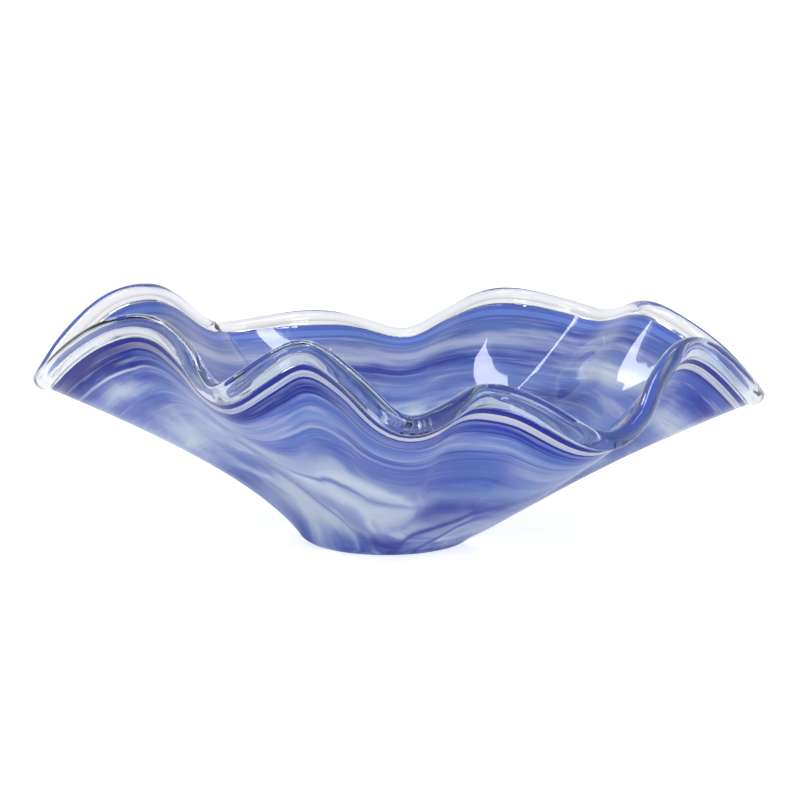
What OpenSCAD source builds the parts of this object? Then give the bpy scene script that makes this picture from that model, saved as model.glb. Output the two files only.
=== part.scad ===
// Ruffled art glass bowl: blown, cased and fluted by hand into eight lobes and eight folds.
// It is blue and white swirled glass outside, clear glass inside, with a heavy clear lip.
// Millimetres, +Z up. The origin is the centre of the ground face that the bowl rests on.
// +X points to the longest lobe. Each body of glass meets its neighbours face to face.

/* [Bowl] */
// Width of the rim as drawn, from tip to tip of the right and left lobes
bowl_w = 433; // [400:1:460]
// How high up the wall the ruffles rise and fall: a higher number starts them later
ruffle_power = 2.2; // [1.6:0.1:3]
// How high up the wall the folds are pinched inwards: a higher number starts them later
pinch_power = 3.5; // [2:0.1:5]
// How straight the wall's slope is, where 1 is a straight cone and less is a bell
wall_power = 0.86; // [0.75:0.01:0.95]
// How much steeper the wall starts on its full side than on its shallow side
wall_lean = 0.18; // [0:0.01:0.2]
// Direction of the shallow side
lean_azimuth = -25; // [-180:5:180]
// How much fuller the belly is under the highest fold
belly = 0.65; // [0:0.05:0.7]
// How far the wall is swept sideways to meet the rim squarely, in degrees
sweep_gain = 7; // [0:1:9]

/* [Foot] */
// Radius of the flat face that is ground under the foot
ground_r = 41; // [38:0.5:43]
// Radius of the rounded heel around the ground face
heel_r = 14; // [12:0.5:15]

/* [Glass layers] */
// Thickness of the coloured layer
colour_t = 4; // [3:0.1:5]
// Thickness of the clear lining over it
lining_t = 2.6; // [2:0.1:3.2]

/* [Lip] */
// Height of the clear lip, along the wall
lip_h = 12.5; // [10:0.5:13]
// Thickness of the clear lip at its fattest
lip_t = 10.5; // [8:0.5:11]

/* [Threads under the lip] */
// Width of the dark thread right under the lip
cobalt_w = 3; // [2:0.5:4]
// Width of the cream-white thread
white_w = 4; // [3:0.5:5]
// Width of the fine dark thread below the white one
fine_w = 1.6; // [1:0.1:2.5]

/* [Hidden] */

// The rim as it was drawn, once around: azimuth in degrees, reach and height in millimetres.
// Lobes are the far, low rows and folds are the near, high ones.
RIM_ROWS = [
    [0, 224, 83],        // right lobe, the longest
    [17, 213, 107],
    [30, 193, 128],      // fold
    [45, 206, 114],      // back right lobe
    [54, 203, 119],
    [63, 180, 129],      // fold
    [71, 186, 123],
    [79, 203, 107],
    [87, 210, 92],       // back lobe
    [96, 198, 103],
    [107, 178, 113],     // fold
    [122, 204, 102],     // back left lobe
    [130, 188, 110],
    [140, 178, 130],
    [150, 174, 141],     // fold
    [160, 186, 136],
    [170, 200, 115],
    [180, 209, 93],      // left lobe
    [195, 190, 122],
    [208, 176, 141],
    [217, 160, 144],     // fold, the highest, pinched inwards
    [227, 160, 132],
    [234, 170, 119],
    [241, 182, 115],     // front left lobe
    [249, 184, 131],
    [256, 176, 142],     // fold
    [265, 194, 127],
    [273, 206, 104],     // front lobe
    [281, 195, 111],
    [290, 168, 117],     // fold
    [298, 180, 107],
    [307, 197, 87],      // front right lobe
    [316, 195, 95],
    [323, 190, 116],
    [331, 192, 130],     // fold
    [341, 200, 123],
];
DRAWN_W = 433;
rim_scale = bowl_w / DRAWN_W;

steps = 4;                        // points along the rim between two rows
around = len(RIM_ROWS) * steps;   // points once around
rises = 11;                       // rings from the foot to the threads
lean = 0.01;                      // small change of rise, for slopes

// The foot: the heel is an arc that ends where the wall takes over.
heel_turn = 45;
foot_r = ground_r + heel_r * sin(heel_turn);
foot_z = heel_r * (1 - cos(heel_turn));
heel_steps = 8;
foot_steps = 96;                  // points once around the foot
floor_z = foot_z + colour_t * sin(heel_turn);     // top of the base, under the lining
floor_r = foot_r - colour_t * cos(heel_turn);
floor_parts = 4;                  // rings across the lining's floor

// The wall that all lobes share before the folds are lifted and drawn inwards.
lobe_r = 205 * rim_scale;
lobe_z = 94;
wall_start = 0.05;                // keeps the wall's slope finite at the foot
foot_blend = 0.12;                // rise over which the layers turn to the heel's direction
belly_azimuth = 224;
belly_narrowness = 8;             // a higher number keeps the belly to fewer degrees
sweep_power = 8;                  // a higher number keeps the sweep nearer the rim
slope_out = 0.6;                  // the wall's usual way near the rim: outwards and upwards
slope_up = 0.8;

// Distances below the rim's end, along the wall
below_lip = lip_h;
below_cobalt = below_lip + cobalt_w;
below_white = below_cobalt + white_w;
below_fine = below_white + fine_w;
shoulder_part = 0.4;              // share of the lip's height where it is fattest

function unit(v) = v / norm(v);

// A row of the rim, numbered on past either end of the list.
function rim_row(i) =
    let (count = len(RIM_ROWS), turn = floor(i / count), row = RIM_ROWS[i - turn * count])
    [row[0] + 360 * turn, row[1] * rim_scale, row[2]];

// A smooth curve that passes through b at 0 and c at 1.
function smooth(a, b, c, d, t) =
    0.5 * (2 * b + (c - a) * t + (2 * a - 5 * b + 4 * c - d) * t * t
        + (3 * b - 3 * c + d - a) * t * t * t);

// The rim's azimuth, reach and height at each point around.
RIM = [for (k = [0 : around - 1])
    let (i = floor(k / steps), t = k / steps - i)
    smooth(rim_row(i - 1), rim_row(i), rim_row(i + 1), rim_row(i + 2), t)];

function rim_at(k) = RIM[(k + around) % around];

// How far the wall is swept aside at each point around, so that it meets the rim squarely.
SWEEP = [for (k = [0 : around - 1])
    let (step = rim_at(k + 1) - rim_at(k - 1),
         turn = (step[0] < 0 ? step[0] + 360 : step[0]) * PI / 180)
    -sweep_gain * (slope_out * step[1] + slope_up * step[2]) / turn / RIM[k][1]];

// The azimuth of the wall at a rise: the rim's own azimuth is reached at its end.
function azimuth_at(k, rise) =
    rim_at(k)[0] - SWEEP[(k + around) % around] * (1 - pow(rise, sweep_power));

// How much of its height the wall has gained at a rise, on the side that faces an azimuth.
function gained(rise, azimuth) =
    let (near_belly = exp(belly_narrowness * (cos(azimuth - belly_azimuth) - 1)),
         power = wall_power + wall_lean * cos(azimuth - lean_azimuth) - belly * near_belly,
         low = pow(wall_start, power), high = pow(1 + wall_start, power))
    (pow(rise + wall_start, power) - low) / (high - low);

// A point on the outside of the wall: rise is 0 at the foot and 1 at the end of the lip.
function wall_point(k, rise) =
    let (rim = rim_at(k), azimuth = azimuth_at(k, rise),
         spread = pow(rise, rim[1] < lobe_r ? pinch_power : ruffle_power),
         r = foot_r + (lobe_r - foot_r) * rise + (rim[1] - lobe_r) * spread,
         z = foot_z + (lobe_z - foot_z) * gained(rise, azimuth)
             + (rim[2] - lobe_z) * pow(rise, ruffle_power))
    [r * cos(azimuth), r * sin(azimuth), z];

// The direction from the outside of the wall to the inside.
function inward(k, rise) =
    let (azimuth = azimuth_at(k, rise),
         along = wall_point(k + 1, rise) - wall_point(k - 1, rise),
         up = wall_point(k, min(rise + lean, 1)) - wall_point(k, max(rise - lean, 0)),
         heel_way = [-cos(heel_turn) * cos(azimuth), -cos(heel_turn) * sin(azimuth),
                     sin(heel_turn)],
         share = min(rise / foot_blend, 1))
    unit(share * unit(cross(up, along)) + (1 - share) * heel_way);

// A point inside the glass, at a depth under the outside.
function glass_point(k, rise, depth) = wall_point(k, rise) + depth * inward(k, rise);

// The rise that lies a distance below the end of the lip, along the wall.
function rise_below(k, distance) =
    let (speed = norm(wall_point(k, 1) - wall_point(k, 1 - lean)) / lean)
    1 - distance / speed;

// A ring around the wall; part 0 is at the foot and part 1 is under the threads.
function wall_ring(part, depth) =
    [for (k = [0 : around - 1]) glass_point(k, part * rise_below(k, below_fine), depth)];

// A ring around the wall at a distance below the end of the lip.
function band_ring(distance, depth) =
    [for (k = [0 : around - 1]) glass_point(k, rise_below(k, distance), depth)];

// A level ring that follows the foot's points.
function level_ring(r, z) =
    [for (k = [0 : around - 1]) [r * cos(azimuth_at(k, 0)), r * sin(azimuth_at(k, 0)), z]];

// A point of the lip: ahead runs along the wall from the threads, and side runs from the
// middle of its thickness towards the inside.
function lip_point(k, ahead, side) =
    let (rise = rise_below(k, below_lip),
         root = glass_point(k, rise, (colour_t + lining_t) / 2),
         end = glass_point(k, 1, (colour_t + lining_t) / 2),
         across = inward(k, rise))
    root + ahead * unit(end - root) + side * across;

function lip_ring(ahead, side) = [for (k = [0 : around - 1]) lip_point(k, ahead, side)];

// The two triangles between ring a and ring b, at point k of each.
function patch(a, b, k) =
    let (m = (k + 1) % around)
    [[a * around + k, a * around + m, b * around + m],
     [a * around + k, b * around + m, b * around + k]];

// Every face with its corners in the other order.
function turned(faces) = [for (face = faces) [face[2], face[1], face[0]]];

// A ring-shaped solid: its section runs up the outside and down the inside of the wall.
module hoop(rings) {
    count = len(rings);
    faces = [for (j = [0 : count - 1], k = [0 : around - 1]) each patch(j, (j + 1) % count, k)];
    polyhedron([for (ring = rings) each ring], turned(faces));
}

// A solid that closes on the axis: rings from its top centre, down its outside, to its foot.
module closed_cup(rings, top, bottom) {
    count = len(rings);
    top_at = count * around;
    bottom_at = top_at + 1;
    last = (count - 1) * around;
    faces = concat(
        [for (j = [0 : count - 2], k = [0 : around - 1]) each patch(j, j + 1, k)],
        [for (k = [0 : around - 1]) [top_at, (k + 1) % around, k]],
        [for (k = [0 : around - 1]) [bottom_at, last + k, last + (k + 1) % around]]);
    polyhedron(concat([for (ring = rings) each ring], [top, bottom]), faces);
}

// A band of the coloured layer between two distances below the end of the lip.
module thread(lower, upper) {
    hoop([band_ring(lower, 0), band_ring(upper, 0), band_ring(upper, colour_t),
          band_ring(lower, colour_t)]);
}

// The thick puddle of glass under the bowl, with its flat ground face and rounded heel.
module ground_base() {
    heel = [for (j = [0 : heel_steps]) let (turn = heel_turn * j / heel_steps)
        [ground_r + heel_r * sin(turn), heel_r * (1 - cos(turn))]];
    color("cornflowerblue")
    rotate_extrude($fn = foot_steps)
    polygon(concat([[0, 0]], heel, [[floor_r, floor_z], [0, floor_z]]));
}

// The coloured layer from the foot to the threads.
module swirl_wall() {
    outside = [for (j = [0 : rises]) wall_ring(j / rises, 0)];
    inside = [for (j = [rises : -1 : 0]) wall_ring(j / rises, colour_t)];
    color("royalblue")
    hoop(concat(outside, inside));
}

// The clear layer over the colour: a floor, and a wall that runs up to the lip.
module clear_lining() {
    depth = colour_t + lining_t;
    floor_top = floor_z + lining_t;
    floor_rings = [for (part = [1 : floor_parts - 1])
        level_ring(floor_r * part / floor_parts, floor_top)];
    threads = [below_fine, below_white, below_cobalt, below_lip];
    inside = concat([for (j = [0 : rises]) wall_ring(j / rises, depth)],
                    [for (j = [1 : 3]) band_ring(threads[j], depth)]);
    outside = concat([for (j = [3 : -1 : 1]) band_ring(threads[j], colour_t)],
                     [for (j = [rises : -1 : 0]) wall_ring(j / rises, colour_t)]);
    color("lightcyan", 0.4)
    closed_cup(concat(floor_rings, inside, outside), [0, 0, floor_top], [0, 0, floor_z]);
}

// The thin dark thread, lowest under the lip.
module fine_cobalt_thread() {
    color("darkblue")
    thread(below_fine, below_white);
}

// The cream-white thread.
module white_thread() {
    color("ghostwhite")
    thread(below_white, below_cobalt);
}

// The dark thread right under the lip.
module cobalt_thread() {
    color("mediumblue")
    thread(below_cobalt, below_lip);
}

// The heavy rim of clear glass, rounded by the fire.
module clear_lip() {
    shoulder = lip_h * shoulder_part;
    bead = [for (turn = [0 : 30 : 180])
        lip_ring(shoulder + (lip_h - shoulder) * sin(turn), -lip_t / 2 * cos(turn))];
    color("azure", 0.6)
    hoop(concat([band_ring(below_lip, 0)], bead, [band_ring(below_lip, colour_t + lining_t)]));
}

ground_base();
swirl_wall();
clear_lining();
fine_cobalt_thread();
white_thread();
cobalt_thread();
clear_lip();
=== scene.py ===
"""A ruffled art glass bowl: eight lobes and eight folds of swirled glass with a clear lip.

Everything is in metres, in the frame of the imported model. The wall's form repeats the
driving dimensions of the model, and each body of glass is pressed from a primitive onto it,
fine enough to look blown instead of faceted.
"""

import logging
import math
from dataclasses import dataclass, field
from enum import Enum

import bpy
import numpy as np
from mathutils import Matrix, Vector


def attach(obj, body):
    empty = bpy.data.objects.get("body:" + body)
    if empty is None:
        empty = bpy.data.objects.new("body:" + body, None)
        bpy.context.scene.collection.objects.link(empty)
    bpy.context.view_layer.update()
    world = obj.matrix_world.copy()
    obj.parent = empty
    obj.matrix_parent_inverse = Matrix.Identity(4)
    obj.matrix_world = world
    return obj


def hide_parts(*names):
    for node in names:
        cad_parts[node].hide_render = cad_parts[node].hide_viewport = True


Array = np.ndarray
Piece = bpy.types.Object
Socket = bpy.types.NodeSocket
Tree = bpy.types.NodeTree

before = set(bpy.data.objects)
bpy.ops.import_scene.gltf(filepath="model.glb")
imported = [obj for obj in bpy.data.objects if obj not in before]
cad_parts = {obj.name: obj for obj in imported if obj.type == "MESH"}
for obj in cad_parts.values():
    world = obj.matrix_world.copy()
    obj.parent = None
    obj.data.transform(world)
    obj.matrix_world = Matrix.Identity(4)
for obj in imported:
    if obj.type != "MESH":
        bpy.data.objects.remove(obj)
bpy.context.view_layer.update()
LOG = logging.getLogger("bowl")
BODY = "root"
FLOW = "flow"      # vector attribute: which way from the axis, of length 1 outside the foot, and rise
LEVEL = "level"    # number attribute: millimetres below the end of the lip, evened out below
SKIN = "skin"      # number attribute: 0 on the outside of the wall and 1 on the inside
MM = 0.001
SMOOTH_ANGLE = math.radians(40)
STROKE_STIR = 1.2  # how far a stroke of colour wavers, in its own half widths
GLASS_IOR = 1.5
OPAL_RIPPLE_SCALE = 14.0
OPAL_RIPPLE_HEIGHT = 0.002


# ---- the form


@dataclass(frozen=True)
class Station:
    """One place on the ruffled rim: azimuth in degrees, reach and height in metres."""

    azimuth: float
    reach: float
    height: float


RIM = (
    Station(0, 0.224, 0.083),
    Station(17, 0.213, 0.107),
    Station(30, 0.193, 0.128),
    Station(45, 0.206, 0.114),
    Station(54, 0.203, 0.119),
    Station(63, 0.180, 0.129),
    Station(71, 0.186, 0.123),
    Station(79, 0.203, 0.107),
    Station(87, 0.210, 0.092),
    Station(96, 0.198, 0.103),
    Station(107, 0.178, 0.113),
    Station(122, 0.204, 0.102),
    Station(130, 0.188, 0.110),
    Station(140, 0.178, 0.130),
    Station(150, 0.174, 0.141),
    Station(160, 0.186, 0.136),
    Station(170, 0.200, 0.115),
    Station(180, 0.209, 0.093),
    Station(195, 0.190, 0.122),
    Station(208, 0.176, 0.141),
    Station(217, 0.160, 0.144),
    Station(227, 0.160, 0.132),
    Station(234, 0.170, 0.119),
    Station(241, 0.182, 0.115),
    Station(249, 0.184, 0.131),
    Station(256, 0.176, 0.142),
    Station(265, 0.194, 0.127),
    Station(273, 0.206, 0.104),
    Station(281, 0.195, 0.111),
    Station(290, 0.168, 0.117),
    Station(298, 0.180, 0.107),
    Station(307, 0.197, 0.087),
    Station(316, 0.195, 0.095),
    Station(323, 0.190, 0.116),
    Station(331, 0.192, 0.130),
    Station(341, 0.200, 0.123),
)


@dataclass
class WallForm:
    """The ruffled wall, from the rounded heel of the foot to the end of the lip.

    Rise runs from 0 at the foot to 1 at the end of the lip, and a column is one of the
    evenly numbered places around the rim.
    """

    columns: int = 720
    ground_reach: float = 0.041
    heel_radius: float = 0.014
    heel_turn: float = math.radians(45)
    colour_depth: float = 0.004
    lining_depth: float = 0.0026
    lobe_reach: float = 0.205
    lobe_height: float = 0.094
    ruffle_power: float = 2.2
    pinch_power: float = 3.5
    wall_power: float = 0.86
    wall_lean: float = 0.18
    lean_azimuth: float = math.radians(-25)
    wall_start: float = 0.05
    foot_blend: float = 0.12
    belly: float = 0.65
    belly_azimuth: float = math.radians(224)
    belly_narrowness: float = 8.0
    lean: float = 0.01
    sweep_gain: float = math.radians(7)
    sweep_power: float = 8.0
    slope_out: float = 0.6
    slope_up: float = 0.8
    softening: float = 3.5
    even_length: float = 0.170
    exact_part: float = 0.3
    foot_reach: float = field(init=False)
    foot_height: float = field(init=False)
    azimuth: Array = field(init=False)
    reach: Array = field(init=False)
    height: Array = field(init=False)
    sweep: Array = field(init=False)

    def __post_init__(self) -> None:
        """Works out the foot and the rim from the driving dimensions."""
        self.foot_reach = self.ground_reach + self.heel_radius * math.sin(self.heel_turn)
        self.foot_height = self.heel_radius * (1 - math.cos(self.heel_turn))
        curve = self._rim_curve()
        self.azimuth = np.radians(curve[:, 0])
        self.reach = curve[:, 1]
        self.height = curve[:, 2]
        self.sweep = self.sweep_gain * self._needed_lean()

    def _rim_curve(self) -> Array:
        """Draws a smooth closed curve through the rim's stations.

        Returns:
            Azimuth, reach and height at each column.
        """
        rows = np.array([[place.azimuth, place.reach, place.height] for place in RIM])
        count = len(rows)
        along = np.arange(self.columns) / self.columns * count
        start = np.floor(along).astype(int)
        step = (along - start)[:, None]
        last, here, ahead, far = (self._row(rows, start + shift) for shift in (-1, 0, 1, 2))
        curve = 0.5 * (2 * here + (ahead - last) * step
                       + (2 * last - 5 * here + 4 * ahead - far) * step**2
                       + (3 * here - 3 * ahead + far - last) * step**3)
        return self._softened(curve)

    @staticmethod
    def _row(rows: Array, index: Array) -> Array:
        """Gives rows past either end of the list, a turn further on.

        Args:
            rows: The rim's stations, one per row.
            index: Row numbers, of any size.

        Returns:
            One row for each number.
        """
        count = len(rows)
        turn = np.floor_divide(index, count)
        picked = rows[index % count].copy()
        picked[:, 0] += 360 * turn
        return picked

    def _softened(self, curve: Array) -> Array:
        """Takes the small kinks out of the rim, as the fire does.

        Args:
            curve: Azimuth, reach and height at each column.

        Returns:
            The same curve with waves shorter than a few columns gone.
        """
        trend = np.zeros_like(curve)
        trend[:, 0] = np.arange(self.columns) / self.columns * 360
        waves = np.fft.rfft(curve - trend, axis=0)
        pace = 2 * math.pi * np.arange(len(waves)) / self.columns
        waves *= np.exp(-0.5 * (self.softening * pace) ** 2)[:, None]
        return np.fft.irfft(waves, n=self.columns, axis=0) + trend

    def _needed_lean(self) -> Array:
        """Works out how far the wall must lean sideways to meet the rim squarely.

        Returns:
            The sideways part of a step up the wall, at each column.
        """
        turn = (np.roll(self.azimuth, -1) - np.roll(self.azimuth, 1)) % (2 * math.pi)
        outward, upward = (
            (np.roll(v, -1) - np.roll(v, 1)) / turn for v in (self.reach, self.height)
        )
        return -(self.slope_out * outward + self.slope_up * upward) / self.reach

    def outside(self, rise: Array, turn: int = 0) -> Array:
        """Places points on the outside of the wall.

        Args:
            rise: Rises, with the columns on the last axis.
            turn: Number of columns to look aside.

        Returns:
            A point for each rise and column.
        """
        azimuth, reach, height, sweep = (
            np.roll(v, -turn) for v in (self.azimuth, self.reach, self.height, self.sweep)
        )
        azimuth = azimuth - sweep * (1 - np.maximum(rise, 0) ** self.sweep_power)
        near = np.exp(self.belly_narrowness * (np.cos(azimuth - self.belly_azimuth) - 1))
        power = (self.wall_power + self.wall_lean * np.cos(azimuth - self.lean_azimuth)
                 - self.belly * near)
        low = self.wall_start**power
        high = (1 + self.wall_start) ** power
        gained = ((rise + self.wall_start) ** power - low) / (high - low)
        ruffle = np.maximum(rise, 0) ** self.ruffle_power
        pinch = np.maximum(rise, 0) ** self.pinch_power
        spread = np.where(reach < self.lobe_reach, pinch, ruffle)
        out = (self.foot_reach + (self.lobe_reach - self.foot_reach) * rise
               + (reach - self.lobe_reach) * spread)
        high_up = (self.foot_height + (self.lobe_height - self.foot_height) * gained
                   + (height - self.lobe_height) * ruffle)
        return np.stack([out * np.cos(azimuth), out * np.sin(azimuth), high_up], axis=-1)

    def inward(self, rise: Array) -> Array:
        """Gives the direction from the outside of the wall to the inside.

        Args:
            rise: Rises, with the columns on the last axis.

        Returns:
            A unit vector for each rise and column.
        """
        along = self.outside(rise, 2) - self.outside(rise, -2)
        up = self.outside(np.minimum(rise + self.lean, 1)) - self.outside(
            np.maximum(rise - self.lean, 0)
        )
        square_on = unit(np.cross(up, along))
        azimuth = self.azimuth - self.sweep * (1 - np.maximum(rise, 0) ** self.sweep_power)
        flat = -math.cos(self.heel_turn)
        heel_way = np.stack(
            [flat * np.cos(azimuth), flat * np.sin(azimuth),
             np.full(self.columns, math.sin(self.heel_turn))], axis=-1
        )
        share = np.clip(rise / self.foot_blend, 0, 1)[..., None]
        return unit(share * square_on + (1 - share) * heel_way)

    def glass(self, rise: Array, depth: float) -> Array:
        """Places a point for each rise and column, at a depth under the outside."""
        return self.outside(rise) + depth * self.inward(rise)

    def speed(self) -> Array:
        """Measures how steeply the rise counts along the wall.

        Returns:
            Length of wall per unit of rise at the end of the lip, at each column.
        """
        end = np.ones(self.columns)
        step = self.outside(end) - self.outside(end - self.lean)
        return np.linalg.norm(step, axis=-1) / self.lean

    def level(self, rise: Array, column: Array) -> Array:
        """Gives millimetres below the end of the lip.

        They are exact near the lip, and are evened out around the bowl lower down.

        Args:
            rise: Rises, of any shape.
            column: The column of each.

        Returns:
            The level of each.
        """
        below = 1 - rise
        exact = below * self.speed()[column]
        even = below * self.even_length
        share = np.exp(-((below / self.exact_part) ** 2))
        return (share * exact + (1 - share) * even) / MM

    def rise_below(self, distance: float) -> Array:
        """The rise at a distance below the end of the lip, at each column."""
        return 1 - distance / self.speed()


def unit(vectors: Array) -> Array:
    """Scales vectors on the last axis to a length of one."""
    return vectors / np.linalg.norm(vectors, axis=-1, keepdims=True)


@dataclass
class Section:
    """Rings of points and the rises that go with them, for pressing a primitive onto."""

    points: list[Array] = field(default_factory=list)
    rises: list[Array] = field(default_factory=list)
    skins: list[float] = field(default_factory=list)

    def add(self, points: Array, rise: Array, skin: float = 0.0) -> None:
        """Adds one ring.

        Args:
            points: A point at each column.
            rise: The rise at each column.
            skin: 0 on the outside of the wall and 1 on the inside.
        """
        self.points.append(points)
        self.rises.append(np.broadcast_to(rise, points.shape[:1]))
        self.skins.append(skin)

    def run(self, form: WallForm, rises: list[Array], depth: float) -> None:
        """Adds a ring at each rise, at one depth.

        Args:
            form: The wall.
            rises: The rise at each column, ring by ring.
            depth: Distance under the outside of the wall.
        """
        for rise in rises:
            self.add(form.glass(rise, depth), rise, float(depth > 0))


# ---- pressing


def start_piece(name: str) -> Piece:
    """Names the primitive that was just added.

    Args:
        name: The piece's name.

    Returns:
        The new object.
    """
    piece = bpy.context.active_object
    piece.name = name
    piece.data.name = name
    return piece


def vertex_places(piece: Piece) -> Array:
    """Reads where a piece's vertices are.

    Args:
        piece: The piece.

    Returns:
        Rows of x, y and z.
    """
    flat = np.empty(len(piece.data.vertices) * 3)
    piece.data.vertices.foreach_get("co", flat)
    return flat.reshape(-1, 3)


def lay_flow(piece: Piece, form: WallForm, section: Section, column: Array, ring: Array) -> None:
    """Writes where each vertex lies in the flow of the glass.

    Args:
        piece: The piece to write on.
        form: The wall.
        section: The rings that the piece was pressed onto.
        column: The column of each vertex.
        ring: The ring of each vertex.
    """
    rise = np.array(section.rises)[ring, column]
    azimuth = form.azimuth[column]
    place = vertex_places(piece)
    spread = np.minimum(np.hypot(place[:, 0], place[:, 1]) / form.foot_reach, 1)
    flow = np.stack([spread * np.cos(azimuth), spread * np.sin(azimuth), rise], axis=-1)
    layer = piece.data.attributes.new(FLOW, "FLOAT_VECTOR", "POINT")
    layer.data.foreach_set("vector", flow.astype(np.float32).ravel())
    layer = piece.data.attributes.new(LEVEL, "FLOAT", "POINT")
    layer.data.foreach_set("value", form.level(rise, column).astype(np.float32))
    layer = piece.data.attributes.new(SKIN, "FLOAT", "POINT")
    layer.data.foreach_set("value", np.array(section.skins)[ring].astype(np.float32))


def press_hoop(name: str, form: WallForm, section: Section) -> Piece:
    """Presses a torus onto a section that runs up the outside and down the inside.

    Args:
        name: The piece's name.
        form: The wall.
        section: The rings, in order around the section.

    Returns:
        The closed, ring-shaped piece.
    """
    grid = np.array(section.points)
    count = len(grid)
    bpy.ops.object.select_all(action="DESELECT")
    bpy.ops.mesh.primitive_torus_add(
        major_segments=form.columns, minor_segments=count, major_radius=1.0, minor_radius=0.5
    )
    piece = start_piece(name)
    place = vertex_places(piece)
    way = np.arctan2(place[:, 1], place[:, 0])
    roll = np.arctan2(place[:, 2], np.hypot(place[:, 0], place[:, 1]) - 1)
    column = np.rint(way / (2 * math.pi) * form.columns).astype(int) % form.columns
    ring = np.rint(roll / (2 * math.pi) * count).astype(int) % count
    piece.data.vertices.foreach_set("co", grid[ring, column].ravel())
    lay_flow(piece, form, section, column, ring)
    return piece


def press_cup(name: str, form: WallForm, section: Section, top: float, bottom: float) -> Piece:
    """Presses a sphere onto a section that starts and ends on the axis.

    Args:
        name: The piece's name.
        form: The wall.
        section: The rings, in order from the top centre to the bottom centre.
        top: Height of the top centre.
        bottom: Height of the bottom centre.

    Returns:
        The closed piece.
    """
    grid = np.array(section.points)
    count = len(grid)
    bpy.ops.object.select_all(action="DESELECT")
    bpy.ops.mesh.primitive_uv_sphere_add(segments=form.columns, ring_count=count + 1)
    piece = start_piece(name)
    place = vertex_places(piece)
    flat = np.hypot(place[:, 0], place[:, 1])
    slope = np.arctan2(flat, place[:, 2])
    way = np.arctan2(place[:, 1], place[:, 0])
    column = np.rint(way / (2 * math.pi) * form.columns).astype(int) % form.columns
    ring = np.rint(slope / math.pi * (count + 1)).astype(int) - 1
    inside = (ring >= 0) & (ring < count)
    ring = np.clip(ring, 0, count - 1)
    spot = grid[ring, column]
    spot[~inside] = 0
    spot[~inside, 2] = np.where(place[~inside, 2] > 0, top, bottom)
    piece.data.vertices.foreach_set("co", spot.ravel())
    lay_flow(piece, form, section, column, ring)
    return piece


def finish_piece(piece: Piece, node: str, material: bpy.types.Material) -> None:
    """Smooths a piece, dresses it and gives it its place in the frame.

    Args:
        piece: The finished mesh.
        node: The node of the frame that it stands for.
        material: What it is made of.
    """
    bpy.ops.object.select_all(action="DESELECT")
    piece.select_set(True)
    bpy.context.view_layer.objects.active = piece
    bpy.ops.object.mode_set(mode="EDIT")
    bpy.ops.mesh.select_all(action="SELECT")
    bpy.ops.mesh.normals_make_consistent(inside=False)
    bpy.ops.object.mode_set(mode="OBJECT")
    bpy.ops.object.shade_smooth_by_angle(angle=SMOOTH_ANGLE)
    piece.data.materials.clear()
    piece.data.materials.append(material)
    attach(piece, BODY)
    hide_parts(node)
    LOG.info("%s: %d faces, stands for %s", piece.name, len(piece.data.polygons), node)


# ---- the finishes


class Tint(Enum):
    """The colours of the glass, as linear red, green and blue."""

    NAVY = (0.010, 0.014, 0.23)
    COBALT = (0.018, 0.034, 0.36)
    DEEP = (0.040, 0.070, 0.41)
    BLUE = (0.085, 0.145, 0.50)
    MID = (0.14, 0.23, 0.59)
    PALE = (0.29, 0.40, 0.68)
    LAVENDER = (0.49, 0.53, 0.73)
    MILK = (0.71, 0.78, 0.85)
    CREAM = (0.64, 0.63, 0.68)
    # Painted refraction: a blue-grey tint for the front of the clear lip, standing in for the blue
    # inside of the bowl seen through it.
    SEEN_THROUGH_PAINT = (0.44, 0.53, 0.73)
    CLEAR = (0.95, 0.965, 0.98)
    DEPTHS = (1.0, 0.96, 0.87)

    @property
    def rgba(self) -> tuple[float, float, float, float]:
        """The colour with a full alpha."""
        return (*self.value, 1.0)


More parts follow.
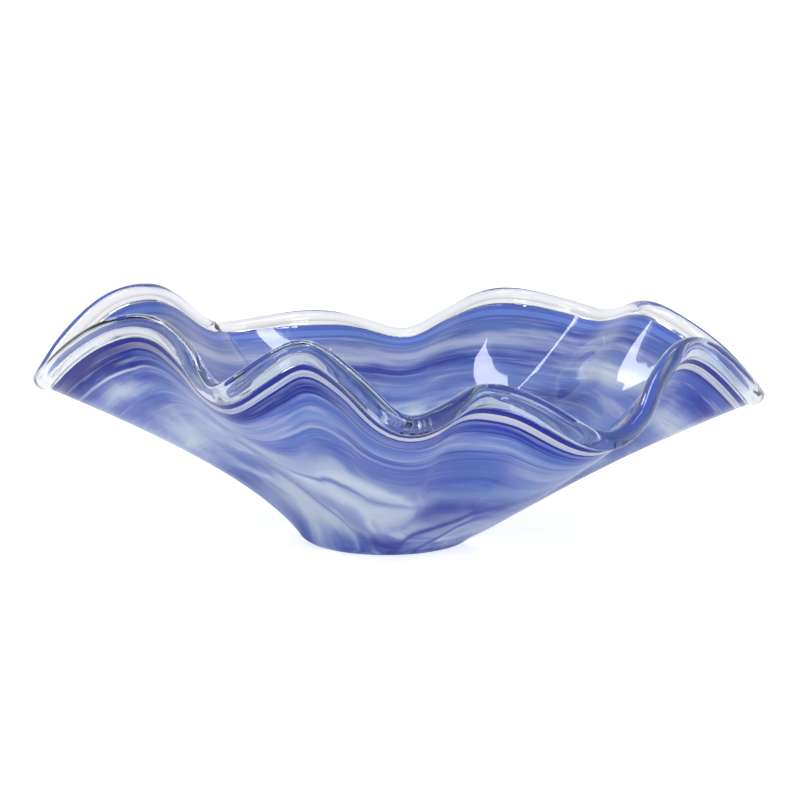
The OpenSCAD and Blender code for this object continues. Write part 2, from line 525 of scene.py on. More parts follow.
class Sheet:
    """A node tree that is being filled in, with short ways to add and join nodes."""

    def __init__(self, tree: Tree) -> None:
        """Takes the tree to fill in."""
        self.tree = tree

    def put(self, socket: Socket, value: object) -> None:
        """Feeds an input with another node's output, or sets it to a plain value.

        Args:
            socket: The input.
            value: What feeds it.
        """
        if isinstance(value, Socket):
            self.tree.links.new(value, socket)
        else:
            socket.default_value = value

    def node(self, kind: str, inputs: dict[str | int, object] | None = None,
             **settings: object) -> bpy.types.Node:
        """Adds a node.

        Args:
            kind: Its type.
            inputs: What feeds each input, by name or number.
            settings: Its properties.

        Returns:
            The new node.
        """
        made = self.tree.nodes.new(kind)
        for key, value in settings.items():
            setattr(made, key, value)
        for key, value in (inputs or {}).items():
            self.put(made.inputs[key], value)
        return made

    def math(self, operation: str, *values: object) -> Socket:
        """Adds a sum on one to three numbers and gives its result."""
        made = self.node("ShaderNodeMath", dict(enumerate(values)), operation=operation)
        return made.outputs[0]

    def combine(self, x: object, y: object, z: object) -> Socket:
        """Joins three numbers into a vector."""
        return self.node("ShaderNodeCombineXYZ", {0: x, 1: y, 2: z}).outputs[0]

    def noise(self, vector: object, scale: object, detail: float = 3.0,
              roughness: float = 0.5, distortion: float = 0.0) -> Socket:
        """Adds a cloud of noise around a half.

        Args:
            vector: Where to read it.
            scale: How fine it is.
            detail: How many layers it has.
            roughness: How strong its finer layers are.
            distortion: How far it is stirred.

        Returns:
            The noise as a number.
        """
        made = self.node(
            "ShaderNodeTexNoise",
            {"Vector": vector, "Scale": scale, "Detail": detail, "Roughness": roughness,
             "Distortion": distortion},
        )
        return made.outputs["Fac"]

    def blend(self, share: object, first: object, second: object, way: str = "MIX") -> Socket:
        """Mixes two colours.

        Args:
            share: How much of the second shows.
            first: One colour.
            second: The other colour.
            way: How they are mixed.

        Returns:
            The mixed colour.
        """
        made = self.node("ShaderNodeMix", data_type="RGBA", blend_type=way)
        self.put(made.inputs["Factor"], share)
        self.put(made.inputs[6], first)
        self.put(made.inputs[7], second)
        return made.outputs[2]

    def ramp(self, number: object, stops: tuple[tuple[float, Tint], ...]) -> Socket:
        """Adds a colour ramp that runs softly from stop to stop.

        Args:
            number: Where to read it, from 0 to 1.
            stops: Each stop's place and colour.

        Returns:
            The colour.
        """
        made = self.node("ShaderNodeValToRGB", {"Fac": number})
        made.color_ramp.interpolation = "B_SPLINE"
        elements = made.color_ramp.elements
        while len(elements) < len(stops):
            elements.new(1.0)
        for element, (place, colour) in zip(elements, stops):
            element.position = place
            element.color = colour.rgba
        return made.outputs["Color"]

    def flow(self) -> Socket:
        """Reads the piece's flow vector."""
        return self.node("ShaderNodeAttribute", attribute_name=FLOW).outputs["Vector"]

    def level(self) -> Socket:
        """Reads the piece's millimetres below the end of the lip."""
        return self.node("ShaderNodeAttribute", attribute_name=LEVEL).outputs["Fac"]

    def skin(self) -> Socket:
        """Reads whether the glass is on the outside or the inside."""
        return self.node("ShaderNodeAttribute", attribute_name=SKIN).outputs["Fac"]

    def parts(self, vector: object) -> bpy.types.bpy_prop_collection:
        """Splits a vector into three numbers."""
        return self.node("ShaderNodeSeparateXYZ", {0: vector}).outputs

    def smooth_step(self, number: object, low: float, high: float) -> Socket:
        """Turns a number into a soft mask that rises from 0 at low to 1 at high."""
        made = self.node(
            "ShaderNodeMapRange",
            {"Value": number, "From Min": low, "From Max": high},
            interpolation_type="SMOOTHSTEP",
        )
        return made.outputs["Result"]


def new_group(name: str, inputs: dict[str, float], output: str) -> tuple[Tree, Sheet]:
    """Starts a shader node group.

    Args:
        name: The group's name.
        inputs: Number inputs and their usual values.
        output: The name of the number that it puts out.

    Returns:
        The group and a sheet to fill it in with.
    """
    group = bpy.data.node_groups.new(name, "ShaderNodeTree")
    for key, value in inputs.items():
        socket = group.interface.new_socket(key, in_out="INPUT", socket_type="NodeSocketFloat")
        socket.default_value = value
    group.interface.new_socket(output, in_out="OUTPUT", socket_type="NodeSocketFloat")
    return group, Sheet(group)


def rim_streaks_group() -> Tree:
    """Builds the fine streaks that run along the rim.

    Returns:
        A group whose output Streak is a mask around a half.
    """
    group, sheet = new_group("rim streaks", {"Along": 6.0, "Across": 0.5, "Phase": 0.0}, "Streak")
    given = sheet.node("NodeGroupInput").outputs
    taken = sheet.node("NodeGroupOutput")
    parts = sheet.parts(sheet.flow())
    place = sheet.combine(
        sheet.math("MULTIPLY", parts[0], given["Along"]),
        sheet.math("MULTIPLY", parts[1], given["Along"]),
        sheet.math("MULTIPLY_ADD", sheet.level(), given["Across"], given["Phase"]),
    )
    sheet.put(taken.inputs["Streak"], sheet.noise(place, 1.0, detail=4.0, roughness=0.55))
    return group


def stroke_group() -> Tree:
    """Builds one soft stroke of colour, laid on the wall at an azimuth and a level.

    Returns:
        A group whose output Mask is 1 in the middle of the stroke.
    """
    group, sheet = new_group(
        "stroke of colour",
        {"Cosine": 1.0, "Sine": 0.0, "Level": 50.0, "Around": 0.3, "Down": 10.0, "Slant": 0.0},
        "Mask",
    )
    given = sheet.node("NodeGroupInput").outputs
    taken = sheet.node("NodeGroupOutput")
    flow = sheet.flow()
    parts = sheet.parts(flow)
    ahead = sheet.math("ADD", sheet.math("MULTIPLY", parts[0], given["Cosine"]),
                       sheet.math("MULTIPLY", parts[1], given["Sine"]))
    aside = sheet.math("SUBTRACT", sheet.math("MULTIPLY", parts[1], given["Cosine"]),
                       sheet.math("MULTIPLY", parts[0], given["Sine"]))
    turn = sheet.math("ARCTAN2", aside, ahead)
    stir = sheet.math("MULTIPLY_ADD", sheet.noise(flow, 5.0, detail=2.0), 2 * STROKE_STIR,
                      -STROKE_STIR)
    below = sheet.math("SUBTRACT", sheet.math("SUBTRACT", sheet.level(), given["Level"]),
                       sheet.math("MULTIPLY", turn, given["Slant"]))
    across = sheet.math("ADD", sheet.math("DIVIDE", below, given["Down"]), stir)
    along = sheet.math("DIVIDE", turn, given["Around"])
    far = sheet.math("ADD", sheet.math("MULTIPLY", along, along),
                     sheet.math("MULTIPLY", across, across))
    sheet.put(taken.inputs["Mask"], sheet.math("EXPONENT", sheet.math("MULTIPLY", far, -1.0)))
    return group


def blown_ripple_group() -> Tree:
    """Builds the slow ripple that blowing and reheating leave in glass.

    Returns:
        A group whose output Height feeds a bump.
    """
    group, sheet = new_group("blown ripple", {"Scale": 18.0}, "Height")
    given = sheet.node("NodeGroupInput").outputs
    taken = sheet.node("NodeGroupOutput")
    place = sheet.node("ShaderNodeTexCoord").outputs["Object"]
    sheet.put(taken.inputs["Height"], sheet.noise(place, given["Scale"], detail=2.0))
    return group


@dataclass(frozen=True)
class Stroke:
    """A stroke of colour laid on the glass: on the wall and the threads, one that the gaffer's
    turning drew out; on the clear lip, painted refraction standing in for the glass seen through it.

    Its azimuth and half length around are in degrees, its level and half width down in
    millimetres, and its slant in millimetres of level per degree.
    """

    azimuth: float
    level: float
    around: float
    down: float
    tint: Tint
    strength: float
    slant: float = 0.0


@dataclass(frozen=True)
class GlassKit:
    """The node groups that several kinds of glass share."""

    streaks: Tree
    strokes: Tree
    ripple: Tree

    def streak(self, sheet: Sheet, along: float, across: float, phase: float = 0.0) -> Socket:
        """Places the rim streaks in a material.

        Args:
            sheet: The material's nodes.
            along: How fine they are along the rim.
            across: How fine they are across it.
            phase: Which streaks they are.

        Returns:
            The mask.
        """
        given = {"Along": along, "Across": across, "Phase": phase}
        return sheet.node("ShaderNodeGroup", given, node_tree=self.streaks).outputs["Streak"]

    def lay(self, sheet: Sheet, stroke: Stroke, under: object) -> Socket:
        """Lays a stroke over a colour.

        Args:
            sheet: The material's nodes.
            stroke: The stroke.
            under: The colour it is laid over.

        Returns:
            The new colour.
        """
        azimuth = math.radians(stroke.azimuth)
        given = {"Cosine": math.cos(azimuth), "Sine": math.sin(azimuth), "Level": stroke.level,
                 "Around": math.radians(stroke.around), "Down": stroke.down,
                 "Slant": math.degrees(stroke.slant)}
        made = sheet.node("ShaderNodeGroup", given, node_tree=self.strokes)
        share = sheet.math("MULTIPLY", made.outputs["Mask"], stroke.strength)
        return sheet.blend(share, under, stroke.tint.rgba)

    def bump(self, sheet: Sheet, scale: float, strength: float, height: float) -> Socket:
        """Places the blown ripple in a material.

        Args:
            sheet: The material's nodes.
            scale: How fine the ripple is.
            strength: How strong it is.
            height: How high it is, in metres.

        Returns:
            The rippled normal.
        """
        made = sheet.node("ShaderNodeGroup", {"Scale": scale}, node_tree=self.ripple)
        bump = sheet.node("ShaderNodeBump", {"Strength": strength, "Distance": height,
                                             "Height": made.outputs["Height"]})
        return bump.outputs["Normal"]

    def opal(self, sheet: Sheet, colour: object, roughness: float, sheen: float) -> Socket:
        """Places the opal shader that the wall and the threads share.

        Args:
            sheet: The material's nodes.
            colour: Its colour.
            roughness: How rough it is.
            sheen: How strongly it mirrors.

        Returns:
            The shader.
        """
        made = sheet.node(
            "ShaderNodeBsdfPrincipled",
            {"Base Color": colour, "Roughness": roughness, "IOR": GLASS_IOR,
             "Specular IOR Level": sheen,
             "Normal": self.bump(sheet, OPAL_RIPPLE_SCALE, 0.25, OPAL_RIPPLE_HEIGHT)},
        )
        return made.outputs["BSDF"]


def new_material(name: str) -> tuple[bpy.types.Material, Sheet, bpy.types.Node]:
    """Starts a material.

    Args:
        name: The material's name.

    Returns:
        The material, a sheet of its nodes and its output node.
    """
    material = bpy.data.materials.new(name)
    material.use_nodes = True
    material.node_tree.nodes.clear()
    sheet = Sheet(material.node_tree)
    return material, sheet, sheet.node("ShaderNodeOutputMaterial")


# Places are in band spans below the end of the lip, and in strengths of cloud.
BAND_STOPS = (
    (0.20, Tint.BLUE), (0.26, Tint.MID), (0.33, Tint.BLUE), (0.39, Tint.MID),
    (0.45, Tint.PALE), (0.50, Tint.BLUE), (0.57, Tint.MID), (0.66, Tint.BLUE),
    (0.74, Tint.MID), (0.81, Tint.BLUE), (0.88, Tint.MID), (1.0, Tint.PALE),
)
CLOUD_STOPS = (
    (0.32, Tint.DEEP), (0.40, Tint.BLUE), (0.47, Tint.MID), (0.55, Tint.PALE),
    (0.66, Tint.MILK),
)
WALL_STROKES = (
    Stroke(250, 86, 30, 13, Tint.MILK, 0.75, 0.3),
    Stroke(258, 116, 24, 15, Tint.MILK, 0.95, 0.3),
    Stroke(232, 148, 30, 14, Tint.MILK, 0.85),
    Stroke(205, 95, 18, 18, Tint.MILK, 0.7),
    Stroke(306, 84, 22, 12, Tint.PALE, 0.8, -0.8),
    Stroke(303, 50, 9, 13, Tint.PALE, 0.9),
    Stroke(305, 55, 8, 7, Tint.LAVENDER, 0.6),
    Stroke(318, 145, 12, 20, Tint.PALE, 0.7),
    Stroke(252, 100, 26, 3.2, Tint.BLUE, 0.8, 0.2),
    Stroke(240, 138, 16, 3.2, Tint.BLUE, 0.7, 1.2),
    Stroke(225, 120, 18, 3.0, Tint.MID, 0.7, 0.6),
    Stroke(272, 66, 30, 10, Tint.BLUE, 0.8, -0.6),
    Stroke(290, 112, 11, 13, Tint.COBALT, 0.9, -0.8),
    Stroke(292, 131, 22, 6.5, Tint.COBALT, 1.0, -2.0),
    Stroke(298, 141, 10, 5, Tint.COBALT, 1.0, -3.4),
    Stroke(270, 161, 14, 7, Tint.COBALT, 0.9),
    Stroke(310, 116, 18, 5, Tint.BLUE, 0.8, -1.4),
    Stroke(197, 23, 24, 8, Tint.NAVY, 1.0, 0.1),
    Stroke(201, 31.5, 16, 0.9, Tint.MILK, 0.9, 0.1),
    Stroke(198, 43, 9, 6, Tint.MILK, 0.7),
    Stroke(202, 56, 12, 5, Tint.BLUE, 0.7, -0.2),
    Stroke(255, 25, 10, 3, Tint.NAVY, 0.95),
    Stroke(243, 27, 9, 4, Tint.NAVY, 0.9),
    Stroke(284, 26, 14, 2, Tint.DEEP, 0.9),
    Stroke(298, 25, 13, 2.2, Tint.COBALT, 0.95),
    Stroke(296, 29, 14, 0.7, Tint.NAVY, 0.8),
    Stroke(257, 29, 24, 0.8, Tint.NAVY, 0.9),
    Stroke(253, 53, 24, 1.2, Tint.LAVENDER, 0.8),
    Stroke(290, 46, 20, 1.0, Tint.DEEP, 0.8, -0.2),
    Stroke(284, 55, 16, 1.0, Tint.DEEP, 0.7, -0.3),
    Stroke(352, 31, 13, 9, Tint.COBALT, 1.0),
    Stroke(350, 52, 14, 7, Tint.MILK, 0.8),
    Stroke(48, 25, 9, 3.5, Tint.DEEP, 0.8),
    Stroke(38, 72, 14, 6, Tint.NAVY, 0.7),
    Stroke(29, 51, 11, 6, Tint.MILK, 0.7),
    Stroke(28, 28, 6, 4, Tint.DEEP, 0.7),
    Stroke(80, 35, 34, 4, Tint.LAVENDER, 0.8, -0.1),
    Stroke(78, 51, 30, 4.5, Tint.COBALT, 0.9, 0.2),
    Stroke(100, 52, 16, 3.5, Tint.COBALT, 0.8),
    Stroke(102, 42, 12, 5, Tint.LAVENDER, 0.9),
    Stroke(140, 38, 24, 5, Tint.LAVENDER, 0.8),
)
THREAD_STROKES = (
    Stroke(195, 18, 32, 12, Tint.NAVY, 1.0),
)
# Painted refraction on the clear lip: blue-grey at the front and bluer at the lobes, standing in for
# the coloured glass seen through it.
PAINTED_LIP_REFRACTION = (
    Stroke(280, 6, 54, 40, Tint.SEEN_THROUGH_PAINT, 1.0),
    Stroke(214, 2, 10, 4, Tint.BLUE, 0.8),
    Stroke(343, 4, 9, 12, Tint.PALE, 0.8),
)


@dataclass(frozen=True)
class SwirlGlass:
    """The opal layer: bands that follow the rim above, and clouds and streaks below."""

    roughness: float = 0.12
    sheen: float = 0.12
    clouds_from: float = 95.0
    bands_to: float = 55.0
    band_span: float = 100.0
    band_sway: float = 13.0
    swirl_turn: float = 0.6

    def build(self, kit: GlassKit) -> bpy.types.Material:
        """Builds the material.

        Args:
            kit: The shared node groups.

        Returns:
            The material.
        """
        material, sheet, output = new_material("swirl glass")
        flow = sheet.flow()
        level = sheet.level()
        upper = sheet.smooth_step(level, self.clouds_from, self.bands_to)
        colour = sheet.blend(upper, self._clouds(sheet, flow),
                             self._bands(kit, sheet, flow, level))
        for stroke in WALL_STROKES:
            colour = kit.lay(sheet, stroke, colour)
        colour = self._fine(kit, sheet, level, colour)
        colour = sheet.blend(sheet.skin(), colour, Tint.DEPTHS.rgba, "MULTIPLY")
        sheet.put(output.inputs["Surface"], kit.opal(sheet, colour, self.roughness, self.sheen))
        return material

    def _bands(self, kit: GlassKit, sheet: Sheet, flow: Socket, level: Socket) -> Socket:
        """Paints the bands that run along the rim.

        Args:
            kit: The shared node groups.
            sheet: The material's nodes.
            flow: The flow vector.
            level: Millimetres below the end of the lip.

        Returns:
            The colour.
        """
        # The bands hold still right under the threads, and sway lower down.
        sway = sheet.noise(flow, 2.4, detail=2.0)
        lift = sheet.math("MULTIPLY_ADD", sway, 2 * self.band_sway, -self.band_sway)
        held = sheet.math("MULTIPLY", lift, sheet.smooth_step(level, 18.0, 40.0))
        place = sheet.math("DIVIDE", sheet.math("ADD", level, held), self.band_span)
        base = sheet.ramp(place, BAND_STOPS)
        # Broad streaks, deep and light, break the bands up along the rim.
        broad = kit.streak(sheet, 1.8, 0.09)
        deep = sheet.math("MULTIPLY", sheet.smooth_step(broad, 0.50, 0.66), 0.75)
        light = sheet.math("MULTIPLY", sheet.smooth_step(broad, 0.46, 0.32), 0.55)
        dark = sheet.blend(deep, base, Tint.DEEP.rgba)
        return sheet.blend(light, dark, Tint.LAVENDER.rgba)

    def _clouds(self, sheet: Sheet, flow: Socket) -> Socket:
        """Paints the clouds that fan out of the foot.

        Args:
            sheet: The material's nodes.
            flow: The flow vector.

        Returns:
            The colour.
        """
        turn = sheet.math("MULTIPLY", sheet.parts(flow)[2], self.swirl_turn)
        spun = sheet.node("ShaderNodeVectorRotate", {"Vector": flow, "Angle": turn},
                          rotation_type="Z_AXIS")
        fan = sheet.node("ShaderNodeVectorMath", {0: spun.outputs[0], 1: (1.5, 1.5, 3.6)},
                         operation="MULTIPLY")
        cloud = sheet.noise(fan.outputs[0], 1.0, detail=3.0, roughness=0.5, distortion=1.2)
        return sheet.ramp(cloud, CLOUD_STOPS)

    def _fine(self, kit: GlassKit, sheet: Sheet, level: Socket, under: Socket) -> Socket:
        """Draws the fine streaks over the bands and the clouds.

        Args:
            kit: The shared node groups.
            sheet: The material's nodes.
            level: Millimetres below the end of the lip.
            under: The colour they are drawn over.

        Returns:
            The colour.
        """
        # They show most near the rim, where the glass is drawn out.
        fine = kit.streak(sheet, 3.2, 0.42)
        near = sheet.smooth_step(level, 100.0, 30.0)
        share = sheet.math("MULTIPLY_ADD", near, 0.22, 0.08)
        dark = sheet.math("MULTIPLY", sheet.smooth_step(fine, 0.53, 0.72), share)
        light = sheet.math("MULTIPLY", sheet.smooth_step(fine, 0.45, 0.28), share)
        darker = sheet.blend(dark, under, Tint.COBALT.rgba)
        return sheet.blend(light, darker, Tint.MILK.rgba)


@dataclass(frozen=True)
class ThreadGlass:
    """A thread of coloured glass, wound on under the lip and paler seen from inside."""

    name: str
    tint: Tint
    shade: Tint
    inside: Tint
    roughness: float = 0.1
    sheen: float = 0.3

    def build(self, kit: GlassKit) -> bpy.types.Material:
        """Builds the material.

        Args:
            kit: The shared node groups.

        Returns:
            The material.
        """
        material, sheet, output = new_material(self.name)
        fine = kit.streak(sheet, 4.0, 1.1, 3.0)
        share = sheet.smooth_step(fine, 0.42, 0.66)
        colour = sheet.blend(share, self.tint.rgba, self.shade.rgba)
        for stroke in THREAD_STROKES:
            colour = kit.lay(sheet, stroke, colour)
        colour = sheet.blend(sheet.skin(), colour, self.inside.rgba)
        sheet.put(output.inputs["Surface"], kit.opal(sheet, colour, self.roughness, self.sheen))
        return material


@dataclass(frozen=True)
class ClearGlass:
    """Clear glass that lets the studio's lamps through to what is behind it."""

    name: str
    ripple_scale: float
    ripple_height: float
    strokes: tuple[Stroke, ...] = ()
    roughness: float = 0.0

    def build(self, kit: GlassKit) -> bpy.types.Material:
        """Builds the material.

        Args:
            kit: The shared node groups.

        Returns:
            The material.
        """
        material, sheet, output = new_material(self.name)
        colour = Tint.CLEAR.rgba
        # The strokes are painted refraction: tints that stand in for the coloured glass seen through
        # the clear glass.
        for stroke in self.strokes:
            colour = kit.lay(sheet, stroke, colour)
        glass = sheet.node(
            "ShaderNodeBsdfPrincipled",
            {"Base Color": colour, "Roughness": self.roughness, "IOR": GLASS_IOR,
             "Transmission Weight": 1.0,
             "Normal": kit.bump(sheet, self.ripple_scale, 0.4, self.ripple_height)},
        )
        open_way = sheet.node("ShaderNodeBsdfTransparent", {"Color": Tint.CLEAR.rgba})
        path = sheet.node("ShaderNodeLightPath")
        mixed = sheet.node("ShaderNodeMixShader", {"Fac": path.outputs["Is Shadow Ray"]})
        sheet.put(mixed.inputs[1], glass.outputs["BSDF"])
        sheet.put(mixed.inputs[2], open_way.outputs["BSDF"])
        sheet.put(output.inputs["Surface"], mixed.outputs["Shader"])
        return material


# ---- the bowl


@dataclass
class LipAndThreads:
    """The clear lip and the three threads wound on under it."""

    form: WallForm
    lip_height: float = 0.0125
    lip_thickness: float = 0.0105
    shoulder_share: float = 0.4
    cobalt_width: float = 0.003
    white_width: float = 0.004
    fine_width: float = 0.0016
    across_steps: int = 4
    bead_steps: int = 30

    @property
    def below_cobalt(self) -> float:
        """Where the cobalt thread ends, below the end of the lip."""
        return self.lip_height + self.cobalt_width

    @property
    def below_white(self) -> float:
        """Where the white thread ends."""
        return self.below_cobalt + self.white_width

    @property
    def below_fine(self) -> float:
        """Where the fine thread ends and the swirled wall starts."""
        return self.below_white + self.fine_width

    def thread(self, name: str, lower: float, upper: float) -> Piece:
        """Presses one thread.

        Args:
            name: The piece's name.
            lower: Its lower edge, below the end of the lip.
            upper: Its upper edge.

        Returns:
            The piece.
        """
        places = np.linspace(lower, upper, self.across_steps)
        rises = [self.form.rise_below(place) for place in places]
        section = Section()
        section.run(self.form, rises, 0.0)
        section.run(self.form, rises[::-1], self.form.colour_depth)
        return press_hoop(name, self.form, section)

    def lip(self) -> Piece:
        """Presses the lip: flush with the wall below, fat above, and round at its end.

        Returns:
            The piece.
        """
        form = self.form
        wall = form.colour_depth + form.lining_depth
        root_rise = form.rise_below(self.lip_height)
        root = form.glass(root_rise, wall / 2)
        end = form.glass(np.ones(form.columns), wall / 2)
        ahead = unit(end - root)
        across = form.inward(root_rise)
        section = Section()
        for turn in np.linspace(-1, 1, self.bead_steps):
            height, side = self._bead(abs(turn), wall / 2)
            points = root + height * ahead + math.copysign(side, turn) * across
            rise = root_rise + (1 - root_rise) * height / self.lip_height
            section.add(points, rise, (1 + turn) / 2)
        return press_hoop("clear_lip_glass", form, section)

    def _bead(self, share: float, half_wall: float) -> tuple[float, float]:
        """Works out the bead's outline.

        Args:
            share: 1 at the wall and 0 at the lip's end.
            half_wall: Half the thickness of the wall under the lip.

        Returns:
            How far up the lip the point is, and how far from its middle.
        """
        fattest = self.lip_thickness / 2
        shoulder = self.lip_height * self.shoulder_share
        if share > 0.5:
            step = (1 - share) * 2
            ease = step * step * (3 - 2 * step)
            return shoulder * step, half_wall + (fattest - half_wall) * ease
        angle = share * math.pi
        height = shoulder + (self.lip_height - shoulder) * math.cos(angle)
        return height, fattest * math.sin(angle)

    def build(self, cobalt: bpy.types.Material, white: bpy.types.Material,
              clear: bpy.types.Material) -> None:
        """Builds and dresses the lip and the threads.

        Args:
            cobalt: The dark glass.
            white: The cream-white glass.
            clear: The clear glass.
        """
        edges = (self.below_fine, self.below_white, self.below_cobalt, self.lip_height)
        threads = (("fine_cobalt_thread", "cobalt_glass", cobalt),
                   ("white_thread", "white_glass", white),
                   ("cobalt_thread", "cobalt_glass", cobalt))
        for (node, slot, material), lower, upper in zip(threads, edges, edges[1:]):
            finish_piece(self.thread(node + "_glass", lower, upper), node, material)
        finish_piece(self.lip(), "clear_lip", clear)


@dataclass
class WallAndFoot:
    """The coloured wall, the clear lining over it and the thick foot under both.

    The shares are parts of a ring's full reach, and the dips are how far the rise runs on
    below 0, so that the swirls carry on over the foot.
    """

    form: WallForm
    below_threads: float
    lip_height: float
    rings: int = 50
    overlap: float = 0.0003
    heel_steps: int = 10
    lining_shares: tuple[float, ...] = (0.15, 0.35, 0.55, 0.75, 0.88)
    floor_shares: tuple[float, ...] = (0.3, 0.6, 0.85, 1.0)
    ground_shares: tuple[float, ...] = (0.92, 0.6, 0.3)
    floor_dip: float = 0.3
    heel_dip: float = 0.05
    ground_dip: float = 0.1

    @property
    def floor_height(self) -> float:
        """Height of the foot's top, under the lining."""
        return self.form.foot_height + self.form.colour_depth * math.sin(self.form.heel_turn)

    @property
    def floor_reach(self) -> float:
        """Reach of the foot's top."""
        return self.form.foot_reach - self.form.colour_depth * math.cos(self.form.heel_turn)

    def level_ring(self, reach: float, height: float) -> Array:
        """Places a level ring of points, one at each column.

        Args:
            reach: Distance from the axis.
            height: Height over the ground face.

        Returns:
            The points.
        """
        azimuth = self.form.azimuth
        level = np.full_like(azimuth, height)
        return np.stack([reach * np.cos(azimuth), reach * np.sin(azimuth), level], axis=-1)

    def wall(self) -> Piece:
        """Presses the coloured wall.

        Returns:
            The piece.
        """
        top = self.form.rise_below(self.below_threads)
        rises = [part * top for part in np.linspace(0, 1, self.rings)]
        section = Section()
        section.run(self.form, rises, 0.0)
        section.run(self.form, rises[::-1], self.form.colour_depth)
        return press_hoop("swirl_wall_glass", self.form, section)

    def lining(self) -> Piece:
        """Presses the clear lining, a cup that reaches up to the lip.

        Returns:
            The piece.
        """
        form = self.form
        top = form.rise_below(self.lip_height)
        rises = [part * top for part in np.linspace(0, 1, self.rings)]
        floor_top = self.floor_height + form.lining_depth
        section = Section()
        for share in self.lining_shares:
            section.add(self.level_ring(self.floor_reach * share, floor_top), 0.0)
        section.run(form, rises, form.colour_depth + form.lining_depth)
        section.run(form, rises[::-1], form.colour_depth - self.overlap)
        return press_cup("clear_lining_glass", form, section, floor_top,
                         self.floor_height - self.overlap)

    def foot(self) -> Piece:
        """Presses the foot, with its rounded heel and flat ground face.

        Returns:
            The piece.
        """
        form = self.form
        section = Section()
        for share in self.floor_shares:
            section.add(self.level_ring(self.floor_reach * share, self.floor_height),
                        self.floor_dip * (share - 1))
        for turn in np.linspace(form.heel_turn, 0, self.heel_steps):
            reach = form.ground_reach + form.heel_radius * math.sin(turn)
            height = form.heel_radius * (1 - math.cos(turn))
            section.add(self.level_ring(reach, height),
                        -self.heel_dip * (1 - turn / form.heel_turn))
        for share in self.ground_shares:
            section.add(self.level_ring(form.ground_reach * share, 0.0), -self.ground_dip)
        return press_cup("ground_base_glass", form, section, self.floor_height, 0.0)

    def build(self, swirl: bpy.types.Material, clear: bpy.types.Material) -> None:
        """Builds and dresses the wall, the lining and the foot.

        Args:
            swirl: The opal glass.
            clear: The clear glass.
        """
        finish_piece(self.foot(), "ground_base", swirl)
        finish_piece(self.wall(), "swirl_wall", swirl)
        finish_piece(self.lining(), "clear_lining", clear)


# ---- the studio


@dataclass(frozen=True)
class Softbox:
    """A square lamp that looks at the bowl."""

    name: str
    place: tuple[float, float, float]
    width: float
    length: float
    power: float

    def build(self, target: Vector) -> None:
        """Hangs the lamp.

        Args:
            target: What it points at.
        """
        data = bpy.data.lights.new(self.name, "AREA")
        data.shape = "RECTANGLE"
        data.size = self.width
        data.size_y = self.length
        data.energy = self.power
        lamp = bpy.data.objects.new(self.name, data)
        lamp.location = self.place
        lamp.rotation_euler = (target - lamp.location).to_track_quat("-Z", "Y").to_euler()
        bpy.context.scene.collection.objects.link(lamp)


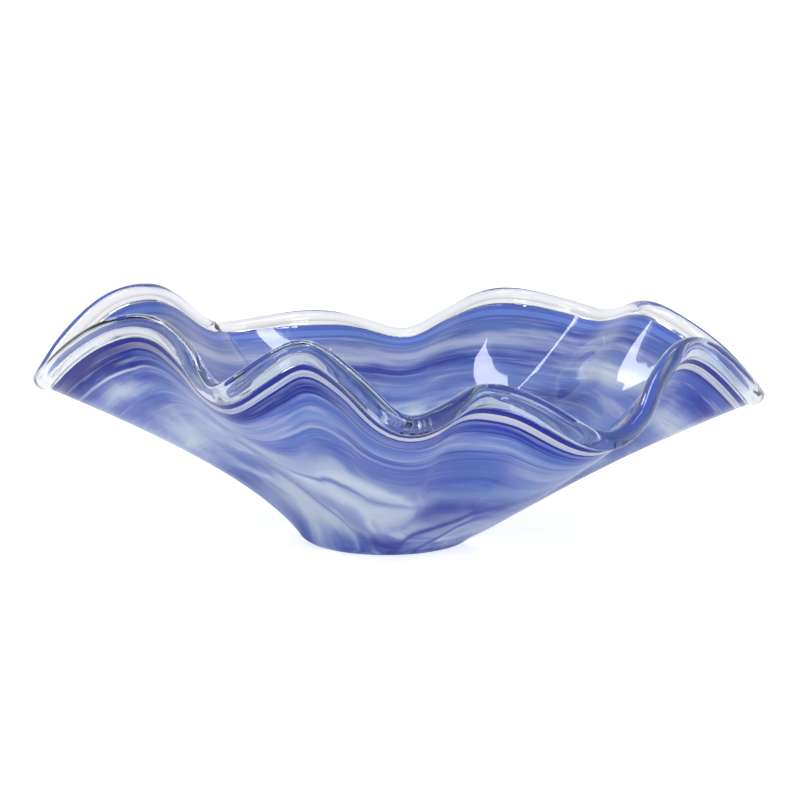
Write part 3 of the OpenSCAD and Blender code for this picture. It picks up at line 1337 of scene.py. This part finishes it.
@dataclass
class Studio:
    """A pale floor, soft light and the camera."""

    target: Vector = field(default_factory=lambda: Vector((0.008, 0.0, 0.0835)))
    distance: float = 1.5
    elevation: float = math.radians(9.5)
    lens: float = 115.0
    floor_size: float = 40.0
    floor_glow: float = 0.45
    floor_lift: float = 0.3
    room_dark: float = 0.39
    room_light: float = 0.95
    room_tilt: float = 1.1
    dark_until: float = -0.2
    light_from: float = 0.7
    softboxes: tuple[Softbox, ...] = (
        Softbox("overhead left", (-0.5, 0.1, 1.6), 0.28, 0.9, 8.0),
        Softbox("overhead right", (0.4, 0.2, 1.6), 0.12, 0.5, 2.0),
        Softbox("front fill", (0.2, -2.2, 1.4), 1.4, 1.0, 23.0),
    )

    def build(self) -> None:
        """Sets up the floor, the light and the camera."""
        self._floor()
        self._world()
        for softbox in self.softboxes:
            softbox.build(self.target)
        self._camera()
        bpy.context.scene.view_settings.view_transform = "Standard"

    def _floor(self) -> None:
        """Lays the floor."""
        bpy.ops.object.select_all(action="DESELECT")
        bpy.ops.mesh.primitive_plane_add(size=self.floor_size)
        floor = start_piece("floor")
        material, sheet, output = new_material("pale floor")
        seen = sheet.node("ShaderNodeLightPath").outputs["Is Camera Ray"]
        shader = sheet.node(
            "ShaderNodeBsdfPrincipled",
            {"Base Color": (0.8, 0.8, 0.82, 1.0), "Roughness": 0.9,
             "Emission Color": (1.0, 1.0, 1.0, 1.0),
             "Emission Strength": sheet.math("MULTIPLY_ADD", seen, self.floor_glow,
                                             self.floor_lift)},
        )
        sheet.put(output.inputs["Surface"], shader.outputs["BSDF"])
        floor.data.materials.append(material)

    def _world(self) -> None:
        """Lights the room evenly, and shows it white."""
        world = bpy.data.worlds.new("studio")
        bpy.context.scene.world = world
        world.use_nodes = True
        world.node_tree.nodes.clear()
        sheet = Sheet(world.node_tree)
        output = sheet.node("ShaderNodeOutputWorld")
        path = sheet.node("ShaderNodeLightPath")
        way = sheet.node("ShaderNodeTexCoord").outputs["Generated"]
        parts = sheet.parts(way)
        behind = sheet.math("MULTIPLY_ADD", parts[2], -self.room_tilt, parts[1])
        ease = sheet.smooth_step(behind, self.dark_until, self.light_from)
        strength = sheet.math("MULTIPLY_ADD", ease, self.room_light - self.room_dark,
                              self.room_dark)
        light = sheet.node("ShaderNodeBackground", {"Color": (0.97, 0.98, 1.0, 1.0),
                                                    "Strength": strength})
        seen = sheet.node("ShaderNodeBackground", {"Color": (1.0, 1.0, 1.0, 1.0),
                                                   "Strength": 1.0})
        mixed = sheet.node("ShaderNodeMixShader", {"Fac": path.outputs["Is Camera Ray"]})
        sheet.put(mixed.inputs[1], light.outputs["Background"])
        sheet.put(mixed.inputs[2], seen.outputs["Background"])
        sheet.put(output.inputs["Surface"], mixed.outputs["Shader"])

    def _camera(self) -> None:
        """Places the camera a little above the rim, in front of the bowl."""
        data = bpy.data.cameras.new("camera")
        data.lens = self.lens
        data.sensor_width = 36.0
        camera = bpy.data.objects.new("camera", data)
        away = Vector((0, -math.cos(self.elevation), math.sin(self.elevation)))
        camera.location = self.target + away * self.distance
        camera.rotation_euler = (-away).to_track_quat("-Z", "Y").to_euler()
        bpy.context.scene.collection.objects.link(camera)
        bpy.context.scene.camera = camera


def main() -> None:
    """Builds the studio and the bowl."""
    logging.basicConfig(level=logging.INFO, format="%(name)s: %(message)s")
    Studio().build()
    form = WallForm()
    kit = GlassKit(rim_streaks_group(), stroke_group(), blown_ripple_group())
    swirl = SwirlGlass().build(kit)
    cobalt = ThreadGlass("cobalt glass", Tint.NAVY, Tint.COBALT, Tint.BLUE).build(kit)
    white = ThreadGlass("cream white glass", Tint.CREAM, Tint.PALE, Tint.MID).build(kit)
    lining_glass = ClearGlass("clear lining glass", 16.0, 0.002, roughness=0.04).build(kit)
    lip_glass = ClearGlass("clear lip glass", 32.0, 0.001, PAINTED_LIP_REFRACTION).build(kit)
    rim = LipAndThreads(form)
    WallAndFoot(form, rim.below_fine, rim.lip_height).build(swirl, lining_glass)
    rim.build(cobalt, white, lip_glass)


if __name__ == "__main__":
    main()
